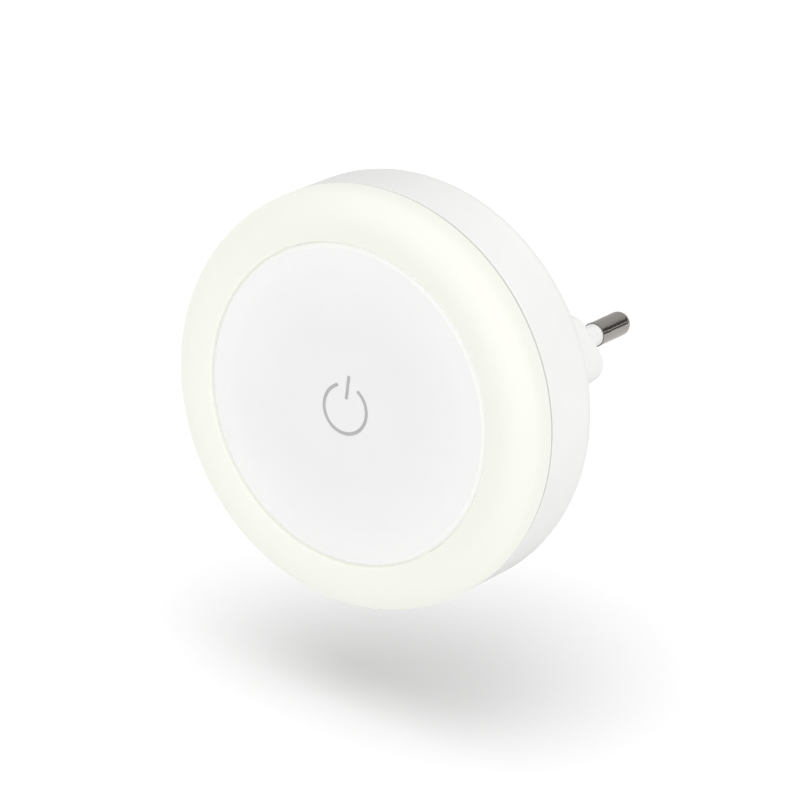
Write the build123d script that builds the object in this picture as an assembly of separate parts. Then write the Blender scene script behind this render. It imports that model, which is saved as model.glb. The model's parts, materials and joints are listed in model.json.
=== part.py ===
from build123d import *
import math
import os

# Plug-in night light: a round lamp on a two-pin wall plug, with a glowing ring round a press plate.
# Lengths are millimetres. Each piece is drawn with Z pointing out of the wall into the room, Y up and
# zero height at the plug's end face, and is turned on export so that the pins point along +Y.

# Plug pins and the plug body that carries them
pin_spacing = 18.4
pin_d = 4.0
pin_length = 19.0
sleeve_d = 3.6
sleeve_gap = 0.04
sleeve_length = 10.0
core_d = 2.8
flange_d = 5.6
flange_t = 1.0
rivet_d = 4.0
rivet_t = 0.6
plug_side = 8.4
plug_height = 13.2
plug_bevel = 5.2
plug_corner_r = 2.5
plug_edge_r = 0.8
plug_length = 18.5
end_wall = 3.0

# Drum of the rear housing
drum_r = 32.6
wall = 1.8
land_margin = 2.3
cone_rise = 9.0
rim_r = 3.0
land_edge_r = 4.0
neck_root_r = 1.0

# Joint between the rear housing and the diffuser ring
seam_over_board = 5.5
seam_gap = 0.3
tongue_length = 3.5
tongue_t = 0.8
tongue_clearance = 0.1
bead_r = 0.25
bead_over_tongue_end = 1.5

# Diffuser ring
ring_width = 7.5
ring_roll = 4.2
ring_side = 1.3
ring_bulge = 5.7
ring_inner_drop = 1.0
ring_wall = 1.6
ring_skirt_t = 1.2
ring_skirt_over_seam = 1.5

# Press plate with its symbol
plate_gap = 0.3
plate_t = 1.5
plate_recess = 1.0
plate_edge_r = 0.7
plate_skirt_t = 0.8
plate_travel = 0.8
plate_stop_gap = 0.2
symbol_r = 3.84
symbol_stroke = 0.5
symbol_gap_deg = 27.4
symbol_drop = 0.45
symbol_bar_low = 1.15
symbol_bar_high = 4.85
symbol_depth = 0.2
symbol_clearance = 0.02

# Guide posts, springs and the actuator in the middle
guide_posts = 3
guide_first_deg = 30
guide_inset = 7.8
post_d = 3.2
post_clearance = 0.15
barb_lip = 0.5
barb_length = 1.7
barb_slot = 0.8
barb_clearance = 0.05
spring_wire_d = 0.5
spring_clearance = 0.45
spring_turns = 4.5
spring_seat_gap = 0.02
spring_cup_t = 0.9
spring_cup_h = 0.8
actuator_d = 4.4
plate_rib_t = 1.0
plate_rib_h = 1.8

# Light frame
frame_base_t = 1.0
frame_lip_t = 0.6
frame_lip_h = 1.2
frame_edge_gap = 0.3
floor_over_board = 3.0
floor_t = 1.2
switch_window_gap = 0.7
led_window_gap = 0.3
peg_d = 1.6
peg_length = 1.0
peg_clearance = 0.1
pegs = 4

# Board and what it carries
board_t = 1.2
board_edge_gap = 0.6
leds = 8
led_length = 3.0
led_width = 1.4
led_height = 0.8
led_edge = 0.12
led_well_length = 2.2
led_well_width = 0.9
led_well_depth = 0.1
switch_size = 6.0
switch_body_h = 3.5
switch_height = 7.0
switch_corner_r = 0.4
plunger_d = 3.4
plunger_clearance = 0.08
plunger_stem_d = 2.6
plunger_floor = 0.5
switch_lip_t = 0.5
switch_tab_length = 1.0
switch_tab_width = 0.7
switch_tab_t = 0.2
actuator_gap = 0.05
film_size = (13.0, 6.0)
film_height = 11.0
film_gap = 0.5
film_y = 10.5
film_edge_r = 0.6
can_d = 8.0
can_length = 11.5
can_y = -11.0
can_edge_r = 0.6
lead_d = 0.6
lead_reach = 1.5
part_standoff = 0.2
bridge_size = (4.7, 3.9, 2.5)
bridge_pitch = 2.6
bridge_edge = 0.3
chip_size = (4.9, 3.9, 1.5)
chip_pitch = 1.27
chip_edge = 0.25
chip_lead = (0.4, 1.0, 0.2)
small_part_x = 6.5
fuse_d = 3.2
fuse_length = 9.0
fuse_edge_r = 0.8
fuse_at = (16.0, 8.5)
bleed_size = (1.6, 3.2, 0.6)
bleed_edge = 0.1
bleed_at = ((-14.0, 8.0), (-17.0, 8.0))
diode_size = (4.3, 2.6, 2.2)
diode_edge = 0.3
diode_from_screw = 6.0

# Screws and bosses
screw_d = 2.2
screw_head_d = 4.0
screw_head_h = 1.3
screw_head_edge_r = 0.5
screw_length = 8.0
screw_tip_edge = 0.4
screw_fit = 0.02
screw_hole_gap = 0.15
cross_length = 2.4
cross_width = 0.7
cross_depth = 0.6
boss_d = 5.0
board_screws = 3
board_screw_first_deg = 90
screw_to_wall = 1.6
pilot_spare = 0.5

# Clamp that holds the pins, with the contact strips up to the board
clamp_width = 7.5
clamp_t = 2.5
clamp_corner_r = 1.5
clamp_hole_gap = 0.2
clamp_screw_spacing = 7.6
clamp_screw_length = 5.0
clamp_boss_d = 4.6
strip_t = 0.4
strip_width = 3.0
strip_lug_d = 5.2
strip_reach = 4.0
strip_hole_gap = 0.05
strip_tab_width = 1.4
strip_tab_proud = 0.8
strip_slot_gap = 0.2

# How near two places lie when they count as one
touch = 0.01

# Places that follow from the sizes above
pin_x = pin_spacing / 2
plug_half_w = pin_x + plug_side
plug_half_h = plug_height / 2
back_z = plug_length
land_r = plug_half_w + land_margin
rim_z = back_z + cone_rise
board_z = back_z + wall + film_gap + film_height
board_top = board_z + board_t
seam_z = board_top + seam_over_board
tongue_end_z = seam_z - tongue_length
inner_r = drum_r - wall
tongue_r = inner_r + tongue_t
rim_inner_r = tongue_r + tongue_clearance
bead_z = tongue_end_z + bead_over_tongue_end
ring_inner_r = drum_r - ring_width
crest_r = drum_r - ring_roll
crest_z = seam_z + ring_side + ring_bulge
skirt_seat_z = seam_z + ring_skirt_over_seam
plate_r = ring_inner_r - plate_gap
guide_circle_r = plate_r - guide_inset
board_screw_r = ring_inner_r - screw_head_d / 2 - screw_to_wall
plate_top = crest_z - plate_recess
plate_under = plate_top - plate_t
floor_z = board_top + floor_over_board
floor_top = floor_z + floor_t
plate_skirt_end = floor_top + plate_travel + plate_stop_gap
frame_wall_t = ring_skirt_t
board_r = inner_r - board_edge_gap
frame_r = inner_r - frame_edge_gap
led_circle_r = (ring_inner_r + frame_wall_t + inner_r) / 2
plunger_top = board_top + switch_height
barb_top = floor_z - barb_clearance
clamp_z = end_wall + flange_t
clamp_top = clamp_z + clamp_t
clamp_length = pin_spacing + flange_d
strip_x = pin_x + strip_reach
guide_hole_r = post_d / 2 + post_clearance
spring_r = post_d / 2 + spring_clearance + spring_wire_d / 2


def around(count, radius, first_deg=0.0):
    """Places evenly spaced on a circle about the drum's axis, each with its direction in degrees."""
    for number in range(count):
        angle = first_deg + number * 360 / count
        x = radius * math.cos(math.radians(angle))
        y = radius * math.sin(math.radians(angle))
        yield x, y, angle


def rod(diameter, low, high, x=0.0, y=0.0):
    """A round rod standing along Z."""
    height = high - low
    return Pos(x, y, low) * Cylinder(diameter / 2, height, align=(Align.CENTER, Align.CENTER, Align.MIN))


def block(size_x, size_y, low, high, x=0.0, y=0.0, turn_deg=0.0):
    """A rectangular block standing along Z, turned about its own middle."""
    base = (Align.CENTER, Align.CENTER, Align.MIN)
    return Pos(x, y, low) * Rot(0, 0, turn_deg) * Box(size_x, size_y, high - low, align=base)


def turned(corners):
    """A solid of revolution from (radius, height, corner radius) points; a zero leaves a corner sharp."""
    section = make_face(Polyline(*[(r, z) for r, z, _ in corners], close=True))
    for r, z, corner_r in corners:
        if corner_r:
            nearest = section.vertices().sort_by_distance((r, z, 0))[0]
            section = fillet(nearest, corner_r)
    return revolve(Plane.XZ * section, Axis.Z)


def plug_outline():
    """The plug's outline: a flat hexagon with bevelled sides and rounded corners."""
    side_y = plug_half_h - plug_bevel
    top_x = plug_half_w - plug_bevel
    right = [(plug_half_w, side_y), (top_x, plug_half_h)]
    left = [(-top_x, plug_half_h), (-plug_half_w, side_y)]
    below = [(x, -y) for x, y in reversed(right + left)]
    outline = make_face(Polyline(*right, *left, *below, close=True))
    return fillet(outline.vertices(), plug_corner_r)


def cross_recess(top, x, y):
    """The cross that a screwdriver turns, cut into a screw head."""
    low = top - cross_depth
    one_way = block(cross_length, cross_width, low, top, x, y)
    other_way = block(cross_width, cross_length, low, top, x, y)
    return one_way + other_way


def screw(seat, length, x, y):
    """A pan-head screw whose head sits on the height seat and whose shank goes down from it."""
    top = seat + screw_head_h
    head = rod(screw_head_d, seat, top, x, y)
    head = fillet(head.edges().group_by(Axis.Z)[-1], screw_head_edge_r)
    shank = rod(screw_d, seat - length, seat, x, y)
    tip = shank.edges().group_by(Axis.Z)[0]
    shank = chamfer(tip, screw_tip_edge)
    return head + shank - cross_recess(top, x, y)


def housing_shell():
    """The drum's wall: side, cone and back land, with the thinned rim that takes the ring's tongue."""
    slope = cone_rise / (drum_r - land_r)
    lift = wall * math.hypot(1, slope)
    inner_rim_z = rim_z - (drum_r - inner_r) * slope + lift
    inner_land_z = back_z + wall
    inner_land_r = drum_r - (rim_z + lift - inner_land_z) / slope
    rim_top = seam_z - seam_gap / 2
    return turned([
        (0, back_z, 0),
        (land_r, back_z, land_edge_r),
        (drum_r, rim_z, rim_r),
        (drum_r, rim_top, 0),
        (rim_inner_r, rim_top, 0),
        (rim_inner_r, tongue_end_z, 0),
        (inner_r, tongue_end_z, 0),
        (inner_r, inner_rim_z, wall),
        (inner_land_r, inner_land_z, wall),
        (0, inner_land_z, 0),
    ])


def rear_housing():
    """Back shell in one moulding with the plug body: bosses for the board, pin holes in the end wall."""
    outline = plug_outline()
    plug = extrude(outline, back_z + wall)
    plug = fillet(plug.edges().group_by(Axis.Z)[0], plug_edge_r)
    shell = housing_shell() + plug
    level = shell.edges().filter_by(lambda edge: abs(edge.center().Z - back_z) < touch)
    root = level.filter_by(lambda edge: edge.bounding_box().size.X < 2 * plug_half_w + touch)
    shell = fillet(root.filter_by(lambda edge: abs(edge.center().Y) < plug_half_h + touch), neck_root_r)
    room = Pos(0, 0, end_wall) * extrude(offset(outline, -wall), back_z + wall)
    shell -= room
    for x, y, _ in around(board_screws, board_screw_r, board_screw_first_deg):
        shell += board_boss(x, y)
    for x, y, _ in around(board_screws, board_screw_r, board_screw_first_deg):
        shell -= rod(screw_d + 2 * screw_fit, board_z - screw_length + board_t - pilot_spare, board_z, x, y)
    for side in (-1, 1):
        x = side * clamp_screw_spacing / 2
        shell += rod(clamp_boss_d, end_wall, clamp_z, x)
        pilot_low = clamp_top - clamp_screw_length - screw_fit
        shell -= rod(screw_d + 2 * screw_fit, pilot_low, clamp_z, x)
        shell -= rod(sleeve_d + 2 * sleeve_gap, 0, end_wall, side * pin_x)
    groove = Pos(0, 0, bead_z) * Torus(rim_inner_r, bead_r + tongue_clearance / 2)
    return shell - groove


def board_boss(x, y):
    """A boss that carries the board, from the shell's wall up to the board's underside."""
    boss = rod(boss_d, back_z, board_z, x, y)
    outside = housing_outside()
    return boss & outside


def housing_outside():
    """The drum's full outer form, used to trim what stands on its wall."""
    half = wall / 2
    slope = cone_rise / (drum_r - land_r)
    lift = half * math.hypot(1, slope)
    return turned([
        (0, back_z + half, 0),
        (land_r, back_z + lift, 0),
        (drum_r, rim_z + lift, 0),
        (drum_r, seam_z, 0),
        (0, seam_z, 0),
    ])


def diffuser_ring():
    """Opal ring: bulged front, inner skirt round the plate, and a tongue with a snap bead."""
    shoulder_z = seam_z + seam_gap / 2
    roll_z = seam_z + ring_side
    lip_z = crest_z - ring_inner_drop
    inner_top_z = crest_z - ring_wall
    skirt_r = ring_inner_r + ring_skirt_t
    edge = [
        Line((drum_r, shoulder_z), (drum_r, roll_z)),
        EllipticalCenterArc((crest_r, roll_z), ring_roll, ring_bulge, arc_size=90),
        ThreePointArc(*crest_to_lip(crest_r, crest_z, ring_inner_r, lip_z)),
        Line((ring_inner_r, lip_z), (ring_inner_r, skirt_seat_z)),
        Line((ring_inner_r, skirt_seat_z), (skirt_r, skirt_seat_z)),
        Line((skirt_r, skirt_seat_z), (skirt_r, lip_z - ring_wall)),
        ThreePointArc(*reversed(crest_to_lip(crest_r, inner_top_z, skirt_r, lip_z - ring_wall))),
        EllipticalCenterArc((crest_r, roll_z), inner_r - crest_r, ring_bulge - ring_wall, arc_size=90),
        Line((inner_r, roll_z), (inner_r, tongue_end_z)),
        Line((inner_r, tongue_end_z), (tongue_r, tongue_end_z)),
        Line((tongue_r, tongue_end_z), (tongue_r, shoulder_z)),
        Line((tongue_r, shoulder_z), (drum_r, shoulder_z)),
    ]
    ring = revolve(Plane.XZ * make_face(edge), Axis.Z)
    bead = Pos(0, 0, bead_z) * Torus(tongue_r, bead_r)
    inside = rod(2 * inner_r + tongue_t, tongue_end_z, skirt_seat_z)
    return ring + (bead - inside)


def crest_to_lip(high_r, high_z, low_r, low_z):
    """Three points of the arc that leaves the crest level and comes down to the lip."""
    run = high_r - low_r
    drop = high_z - low_z
    arc_r = (run * run + drop * drop) / (2 * drop)
    half_turn = math.atan2(drop, run)
    middle = (high_r - arc_r * math.sin(half_turn), high_z - arc_r * (1 - math.cos(half_turn)))
    return (high_r, high_z), middle, (low_r, low_z)


def light_frame():
    """White frame under the ring: LED windows, the wall that guides the plate, and the spring floor."""
    inner = ring_inner_r
    outer = inner + frame_wall_t
    base_top = board_top + frame_base_t
    frame = turned([
        (0, floor_z, 0),
        (inner, floor_z, 0),
        (inner, board_top, 0),
        (frame_r, board_top, 0),
        (frame_r, base_top + frame_lip_h, 0),
        (frame_r - frame_lip_t, base_top + frame_lip_h, 0),
        (frame_r - frame_lip_t, base_top, 0),
        (outer, base_top, 0),
        (outer, skirt_seat_z, 0),
        (inner, skirt_seat_z, 0),
        (inner, floor_top, 0),
        (0, floor_top, 0),
    ])
    for x, y, angle in around(leds, led_circle_r, 180 / leds):
        across = led_width + 2 * led_window_gap
        along = led_length + 2 * led_window_gap
        frame -= block(across, along, board_top, base_top, x, y, angle)
    for x, y, _ in around(pegs, led_circle_r):
        frame += rod(peg_d, board_top - peg_length, board_top + frame_base_t, x, y)
    for x, y, _ in around(guide_posts, guide_circle_r, guide_first_deg):
        cup_d = 2 * spring_r + spring_wire_d + 2 * spring_clearance
        cup = rod(cup_d + 2 * spring_cup_t, floor_top, floor_top + spring_cup_h, x, y)
        frame += cup - rod(cup_d, floor_top, floor_top + spring_cup_h, x, y)
        frame -= rod(2 * guide_hole_r, floor_z, floor_top, x, y)
    window = switch_size + 2 * switch_window_gap
    return frame - block(window, window, floor_z, floor_top)


def symbol_face(grow=0.0):
    """The standby sign: an open circle with a bar at its top."""
    half = symbol_stroke / 2 + grow
    middle = Pos(0, -symbol_drop)
    circle = Circle(symbol_r + half) - Circle(symbol_r - half)
    reach = 2 * symbol_r
    open_deg = symbol_gap_deg - math.degrees(grow / symbol_r)
    lean = reach * math.tan(math.radians(open_deg))
    notch = make_face(Polyline((0, 0), (lean, reach), (-lean, reach), close=True))
    bar_low = symbol_bar_low - grow
    bar_high = symbol_bar_high + grow
    bar = Pos(0, (bar_low + bar_high) / 2) * Rectangle(2 * half, bar_high - bar_low)
    return middle * (circle - notch) + bar


def press_plate():
    """White plate that is pressed: skirt, ribs, middle actuator and three barbed guide posts."""
    plate = turned([
        (0, plate_under, 0),
        (plate_r - plate_skirt_t, plate_under, 0),
        (plate_r - plate_skirt_t, plate_skirt_end, 0),
        (plate_r, plate_skirt_end, 0),
        (plate_r, plate_top, plate_edge_r),
        (0, plate_top, 0),
    ])
    plate -= Pos(0, 0, plate_top - symbol_depth) * extrude(symbol_face(symbol_clearance), symbol_depth)
    plate += rod(actuator_d, plunger_top + actuator_gap, plate_under)
    rib_length = plate_r - plate_skirt_t
    for _, _, angle in around(guide_posts, 1, guide_first_deg + 180 / guide_posts):
        rib = Pos(rib_length / 2, 0, plate_under - plate_rib_h / 2) * Box(rib_length, plate_rib_t, plate_rib_h)
        plate += Rot(0, 0, angle) * rib
    for x, y, angle in around(guide_posts, guide_circle_r, guide_first_deg):
        plate += guide_post(x, y, angle)
    return plate


def guide_post(x, y, angle):
    """A post under the plate whose split barb snaps through the frame's floor and keeps the plate in."""
    tip_z = barb_top - barb_length
    post = rod(post_d, tip_z, plate_under)
    barb = Pos(0, 0, tip_z) * Cone(
        post_d / 2, post_d / 2 + barb_lip, barb_length, align=(Align.CENTER, Align.CENTER, Align.MIN)
    )
    slot = block(barb_slot, post_d + 4 * barb_lip, tip_z, floor_top)
    return Pos(x, y) * Rot(0, 0, angle) * (post + barb - slot)


def power_symbol():
    """Grey inlay that fills the sign's recess, flush with the plate."""
    depth = symbol_depth - symbol_clearance
    return Pos(0, 0, plate_top - depth) * extrude(symbol_face(), depth)


def return_spring(x, y):
    """Compression spring round a guide post, from the frame's floor to the plate."""
    wire_r = spring_wire_d / 2
    low = floor_top + wire_r + spring_seat_gap
    height = plate_under - floor_top - 2 * (wire_r + spring_seat_gap)
    coil = Helix(height / spring_turns, height, spring_r)
    section = Plane(origin=coil @ 0, z_dir=coil % 0) * Circle(wire_r)
    return Pos(x, y, low) * sweep(section, path=coil, is_frenet=True)


def led_board():
    """Round board with its screw holes, peg holes and the slots for the contact tabs."""
    board = rod(2 * board_r, board_z, board_top)
    for x, y, _ in around(board_screws, board_screw_r, board_screw_first_deg):
        board -= rod(screw_d + 2 * screw_hole_gap, board_z, board_top, x, y)
    for x, y, _ in around(pegs, led_circle_r):
        board -= rod(peg_d + 2 * peg_clearance, board_z, board_top, x, y)
    for side in (-1, 1):
        slot_x = strip_t + 2 * strip_slot_gap
        slot_y = strip_tab_width + 2 * strip_slot_gap
        board -= block(slot_x, slot_y, board_z, board_top, side * strip_x)
    return board


def led(x, y, angle):
    """One white LED package with the shallow well of its phosphor."""
    package = block(led_width, led_length, board_top, board_top + led_height, x, y, angle)
    package = chamfer(package.edges().group_by(Axis.Z)[-1], led_edge)
    top = board_top + led_height
    return package - block(led_well_width, led_well_length, top - led_well_depth, top, x, y, angle)


def switch_body():
    """Square push switch on the board: bore for the plunger under a lip, and four soldering tabs."""
    top = board_top + switch_body_h
    body = block(switch_size, switch_size, board_top, top)
    body = fillet(body.edges().filter_by(Axis.Z), switch_corner_r)
    body -= rod(plunger_d + 2 * plunger_clearance, board_top + plunger_floor, top - switch_lip_t)
    body -= rod(plunger_stem_d + 2 * plunger_clearance, top - switch_lip_t, top)
    reach = switch_size + 2 * switch_tab_length
    for side in (-1, 1):
        y = side * (switch_size / 2 - switch_tab_width)
        tabs = block(reach, switch_tab_width, board_top, board_top + switch_tab_t, 0, y)
        body += tabs - block(switch_size, switch_size, board_top, top)
    return body


def switch_plunger():
    """The switch's plunger: a foot held under the body's lip and a thinner stem up to the actuator."""
    foot_low = board_top + plunger_floor + plate_travel + plunger_clearance
    foot_top = board_top + switch_body_h - switch_lip_t
    foot = rod(plunger_d, foot_low, foot_top)
    stem = rod(plunger_stem_d, foot_top, plunger_top)
    return foot + stem


def pin(x):
    """One plug pin: round-ended bare tip, thin core in the sleeve, flange and riveted tail."""
    tip_r = pin_d / 2
    core_r = core_d / 2
    tail_top = clamp_top + strip_t
    section = make_face([
        Line((0, -pin_length), (0, tail_top + rivet_t)),
        Line((0, tail_top + rivet_t), (rivet_d / 2, tail_top + rivet_t)),
        Line((rivet_d / 2, tail_top + rivet_t), (rivet_d / 2, tail_top)),
        Line((rivet_d / 2, tail_top), (core_r, tail_top)),
        Line((core_r, tail_top), (core_r, clamp_z)),
        Line((core_r, clamp_z), (flange_d / 2, clamp_z)),
        Line((flange_d / 2, clamp_z), (flange_d / 2, end_wall)),
        Line((flange_d / 2, end_wall), (core_r, end_wall)),
        Line((core_r, end_wall), (core_r, -sleeve_length)),
        Line((core_r, -sleeve_length), (tip_r, -sleeve_length)),
        Line((tip_r, -sleeve_length), (tip_r, tip_r - pin_length)),
        CenterArc((0, tip_r - pin_length), tip_r, 0, -90),
    ])
    return Pos(x) * revolve(Plane.XZ * section, Axis.Z)


def pin_sleeve(x):
    """Insulating sleeve on the pin's core, from the bare tip through the end wall to the flange."""
    return rod(sleeve_d, -sleeve_length, end_wall, x) - rod(core_d, -sleeve_length, end_wall, x)


def pin_clamp():
    """Bar inside the plug that presses both pin flanges on to the end wall."""
    bar = extrude(RectangleRounded(clamp_length, clamp_width, clamp_corner_r), clamp_t)
    bar = Pos(0, 0, clamp_z) * bar
    for side in (-1, 1):
        bar -= rod(core_d + 2 * clamp_hole_gap, clamp_z, clamp_top, side * pin_x)
        screw_x = side * clamp_screw_spacing / 2
        bar -= rod(screw_d + 2 * screw_hole_gap, clamp_z, clamp_top, screw_x)
    return bar


def contact_strip(side):
    """Brass strip riveted under the pin's tail and soldered through the board."""
    x = side * pin_x
    foot_top = clamp_top + strip_t
    outer_x = strip_reach + strip_t / 2
    lug = rod(strip_lug_d, clamp_top, foot_top, x)
    foot = block(outer_x, strip_width, clamp_top, foot_top, x + side * outer_x / 2)
    leg = block(strip_t, strip_width, clamp_top, board_z, side * strip_x)
    tab = block(strip_t, strip_tab_width, board_z, board_top + strip_tab_proud, side * strip_x)
    strip = lug + foot + leg + tab
    return strip - rod(core_d + 2 * strip_hole_gap, clamp_top, foot_top, x)


def film_capacitor():
    """Boxed film capacitor that drops the mains voltage, standing on the board's underside."""
    body = block(*film_size, board_z - film_height, board_z, 0, film_y)
    return fillet(body.edges().group_by(Axis.Z)[0], film_edge_r)


def lying_part(diameter, length, x, y, turn_deg, end_r):
    """A round part lying under the board, with a lead out of each end bent up to the board."""
    axis_z = board_z - part_standoff - diameter / 2
    body = Rot(0, 90, 0) * Cylinder(diameter / 2, length)
    body = fillet(body.edges().filter_by(GeomType.CIRCLE), end_r)
    lead_x = length / 2 + lead_reach
    wire = Rot(0, 90, 0) * Cylinder(lead_d / 2, 2 * lead_x)
    rise = board_z - axis_z
    for side in (-1, 1):
        wire += Pos(side * lead_x, 0, rise / 2) * Cylinder(lead_d / 2, rise)
        wire += Pos(side * lead_x, 0, 0) * Sphere(lead_d / 2)
    return Pos(x, y, axis_z) * Rot(0, 0, turn_deg) * (body + wire)


def electrolytic_capacitor():
    """Smoothing capacitor lying under the board."""
    return lying_part(can_d, can_length, 0, can_y, 0, can_edge_r)


def fusible_resistor():
    """Fusible resistor in the live line, lying under the board."""
    return lying_part(fuse_d, fuse_length, *fuse_at, 90, fuse_edge_r)


def bridge_rectifier():
    """Small bridge rectifier with a lead at each corner."""
    long_side, short_side, height = bridge_size
    body = block(long_side, short_side, board_z - height, board_z, -small_part_x)
    body = chamfer(body.edges().group_by(Axis.Z)[0], bridge_edge)
    return body + gull_leads(-small_part_x, bridge_pitch, short_side, 2)


def controller_ic():
    """Eight-lead chip that switches and dims the LEDs."""
    long_side, short_side, height = chip_size
    body = block(long_side, short_side, board_z - height, board_z, small_part_x)
    body = chamfer(body.edges().group_by(Axis.Z)[0], chip_edge)
    return body + gull_leads(small_part_x, chip_pitch, short_side, 4)


def gull_leads(x, pitch, body_width, count):
    """Flat leads along both long sides of a chip, lying on the board's underside."""
    width, reach, thickness = chip_lead
    leads = []
    for number in range(count):
        lead_x = x + (number - (count - 1) / 2) * pitch
        leads.append(block(width, body_width + 2 * reach, board_z - thickness, board_z, lead_x))
    return Part() + leads


def chip_part(size, x, y, edge):
    """A small rectangular part lying flat on the board's underside."""
    size_x, size_y, height = size
    body = block(size_x, size_y, board_z - height, board_z, x, y)
    return chamfer(body.edges().group_by(Axis.Z)[0], edge)


def bleed_resistors():
    """Two chip resistors that discharge the film capacitor, so the pins are safe when unplugged."""
    return Part() + [chip_part(bleed_size, x, y, bleed_edge) for x, y in bleed_at]


def surge_diode():
    """Surge diode under the board, on the line from the middle to the second board screw."""
    turn = math.radians(board_screw_first_deg + 360 / board_screws)
    from_middle = board_screw_r - diode_from_screw
    return chip_part(diode_size, from_middle * math.cos(turn), from_middle * math.sin(turn), diode_edge)


def board_screw_set():
    """The screws that fix the board to the housing's bosses."""
    places = around(board_screws, board_screw_r, board_screw_first_deg)
    return Part() + [screw(board_top, screw_length, x, y) for x, y, _ in places]


def clamp_screw_set():
    """The two screws that fix the pin clamp to the plug's end wall."""
    half = clamp_screw_spacing / 2
    return Part() + [screw(clamp_top, clamp_screw_length, side * half, 0) for side in (-1, 1)]


pieces = {
    "rear_housing": rear_housing(),
    "diffuser_ring": diffuser_ring(),
    "light_frame": light_frame(),
    "press_plate": press_plate(),
    "power_symbol": power_symbol(),
    "led_board": led_board(),
    "switch_body": switch_body(),
    "switch_plunger": switch_plunger(),
    "plug_pin_left": pin(-pin_x),
    "plug_pin_right": pin(pin_x),
    "pin_sleeve_left": pin_sleeve(-pin_x),
    "pin_sleeve_right": pin_sleeve(pin_x),
    "pin_clamp": pin_clamp(),
    "contact_strip_left": contact_strip(-1),
    "contact_strip_right": contact_strip(1),
    "film_capacitor": film_capacitor(),
    "electrolytic_capacitor": electrolytic_capacitor(),
    "fusible_resistor": fusible_resistor(),
    "bridge_rectifier": bridge_rectifier(),
    "controller_ic": controller_ic(),
    "bleed_resistors": bleed_resistors(),
    "surge_diode": surge_diode(),
    "board_screws": board_screw_set(),
    "clamp_screws": clamp_screw_set(),
}
for number, (x, y, _) in enumerate(around(guide_posts, guide_circle_r, guide_first_deg), 1):
    pieces[f"return_spring_{number}"] = return_spring(x, y)
for number, (x, y, angle) in enumerate(around(leds, led_circle_r, 180 / leds), 1):
    pieces[f"led_{number}"] = led(x, y, angle)

os.makedirs("parts", exist_ok=True)
for name, piece in pieces.items():
    export_step(Rot(90, 0, 0) * piece, f"parts/{name}.step")
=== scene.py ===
import json
import math

import bpy
from mathutils import Matrix, Vector


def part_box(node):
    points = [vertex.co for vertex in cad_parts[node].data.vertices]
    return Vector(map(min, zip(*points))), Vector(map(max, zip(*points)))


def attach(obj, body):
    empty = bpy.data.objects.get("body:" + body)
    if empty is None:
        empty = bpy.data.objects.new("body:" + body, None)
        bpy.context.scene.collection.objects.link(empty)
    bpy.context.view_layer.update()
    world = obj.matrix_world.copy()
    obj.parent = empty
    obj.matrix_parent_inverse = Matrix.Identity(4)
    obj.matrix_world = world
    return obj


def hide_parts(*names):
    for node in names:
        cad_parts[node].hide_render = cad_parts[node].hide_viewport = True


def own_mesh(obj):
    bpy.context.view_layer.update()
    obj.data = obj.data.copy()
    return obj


# Looks of the plug-in night light: shells, ring, plate, sign, pins and springs are modelled here, and the
# parts under the cover keep their solids and get their finishes. Outlines are in millimetres, as a radius
# from the lamp's axis and a reach out of the wall, and at() turns them into metres in the frame's own axes.

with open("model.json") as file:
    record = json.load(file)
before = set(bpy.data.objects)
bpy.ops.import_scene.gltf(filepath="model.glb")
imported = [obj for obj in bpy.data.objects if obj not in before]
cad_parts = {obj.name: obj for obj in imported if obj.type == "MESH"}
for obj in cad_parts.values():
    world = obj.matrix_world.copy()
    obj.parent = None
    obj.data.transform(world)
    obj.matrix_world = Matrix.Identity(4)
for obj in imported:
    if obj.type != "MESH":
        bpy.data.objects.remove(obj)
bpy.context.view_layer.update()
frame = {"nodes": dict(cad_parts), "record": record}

# Metres in a millimetre, steps round a large and a small piece, how near points are merged, the turn at which
# an edge stays sharp, and how much of an edge's direction runs out of the wall when it counts as upright
MM = 0.001
TURN_STEPS = 192
SMALL_TURN_STEPS = 64
WELD = 0.004 * MM
SHARP_EDGE = math.radians(30)
UPRIGHT = 0.9


def reach(node):
    """How far a node goes to the right, and its least and greatest reach out of the wall, in millimetres."""
    low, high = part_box(node)
    return high.x / MM, -high.y / MM, -low.y / MM


drum_r, _, rim_out = reach("rear_housing")
_, tongue_end, crest_out = reach("diffuser_ring")
plate_r, barb_end, plate_face = reach("press_plate")
_, _, skirt_seat = reach("light_frame")
_, board_bottom, _ = reach("led_board")
mounts = {mount["name"]: mount for mount in frame["record"]["mounts"]}
back_out = -mounts["housing_back"]["pos_m"][1] / MM
pin_x = mounts["plug_pin_right"]["pos_m"][0] / MM
pin_r = mounts["plug_pin_right"]["dims"]["r_mm"]
pin_sleeve_r = reach("pin_sleeve_right")[0] - pin_x

# Shell of the drum. Its back is a flat land with a cone round it, and cone_slope is how far the cone reaches
# out for each millimetre of radius.
wall = 1.8
land_r = 19.9
land_edge_r = 4.0
rim_start = 27.5
rim_r = 3.0
cone_slope = (rim_start - back_out) / (drum_r - land_r)
seam_gap = 0.3
seam_edge_r = 0.12
tongue_r = 31.6
tongue_clearance = 0.1
bead_r = 0.25
bead_over_tongue_end = 1.5
bead_steps = 8

# Plug body
plug_half_w = 17.6
plug_half_h = 6.6
plug_bevel = 5.2
plug_corner_r = 2.5
plug_edge_r = 0.8
plug_corner_steps = 10
root_r = 1.0
root_sink = 0.9
end_wall = 3.0

# Board screws and clamp screws: their bosses in the housing and the pilot holes in them
boss_count = 3
boss_r = 2.5
boss_circle_r = 21.5
boss_first_deg = 90
pilot_r = 1.12
pilot_low = 24.5
clamp_boss_r = 2.3
clamp_boss_x = 3.8
clamp_boss_h = 1.0
clamp_pilot_low = 1.48

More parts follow.
